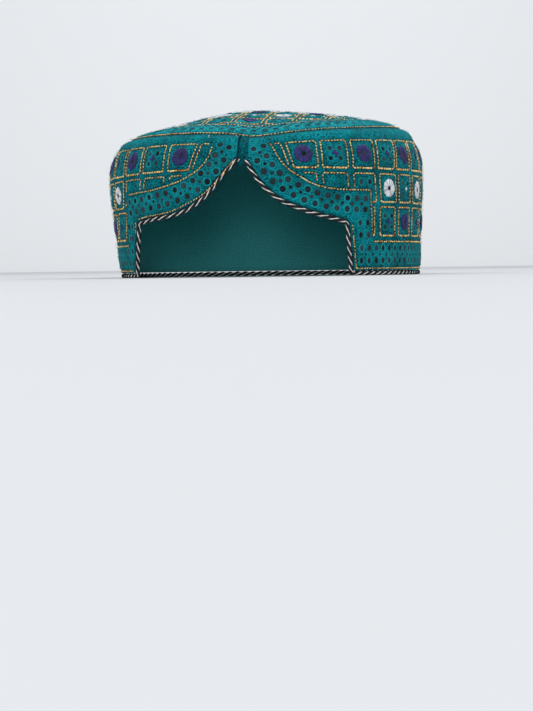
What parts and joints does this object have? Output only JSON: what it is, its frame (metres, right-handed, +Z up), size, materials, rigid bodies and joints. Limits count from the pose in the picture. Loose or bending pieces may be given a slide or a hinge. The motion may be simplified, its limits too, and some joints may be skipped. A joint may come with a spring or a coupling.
{
  "type": "sindhi cap",
  "caption": "Round embroidered cloth cap with a straight side band, a low domed crown, a lobed cut-out over the forehead and a twisted cord along its lower edge.",
  "frame": {"origin": "middle of the bounding box on the plane that the rim's cord rests on", "axes": "+Z up through the crown, +Y towards the back of the head, the cut-out faces -Y"},
  "size_m": [0.1744, 0.1851, 0.0918],
  "materials": {
    "band_cloth": "densely machine-stitched teal cotton cloth, matt",
    "crown_cloth": "densely machine-stitched teal cotton cloth, matt",
    "edge_cord": "black and white twisted cotton cord",
    "gold_thread": "twisted metallic gold thread, glinting",
    "purple_silk": "purple silk floss in satin stitch",
    "white_silk": "white silk floss in satin stitch",
    "dark_thread": "dark stitched eyelets, matt"
  },
  "bodies": {
    "root": {"side_band": "band_cloth", "crown": "crown_cloth", "edge_cord": "edge_cord"}
  },
  "joints": []
}
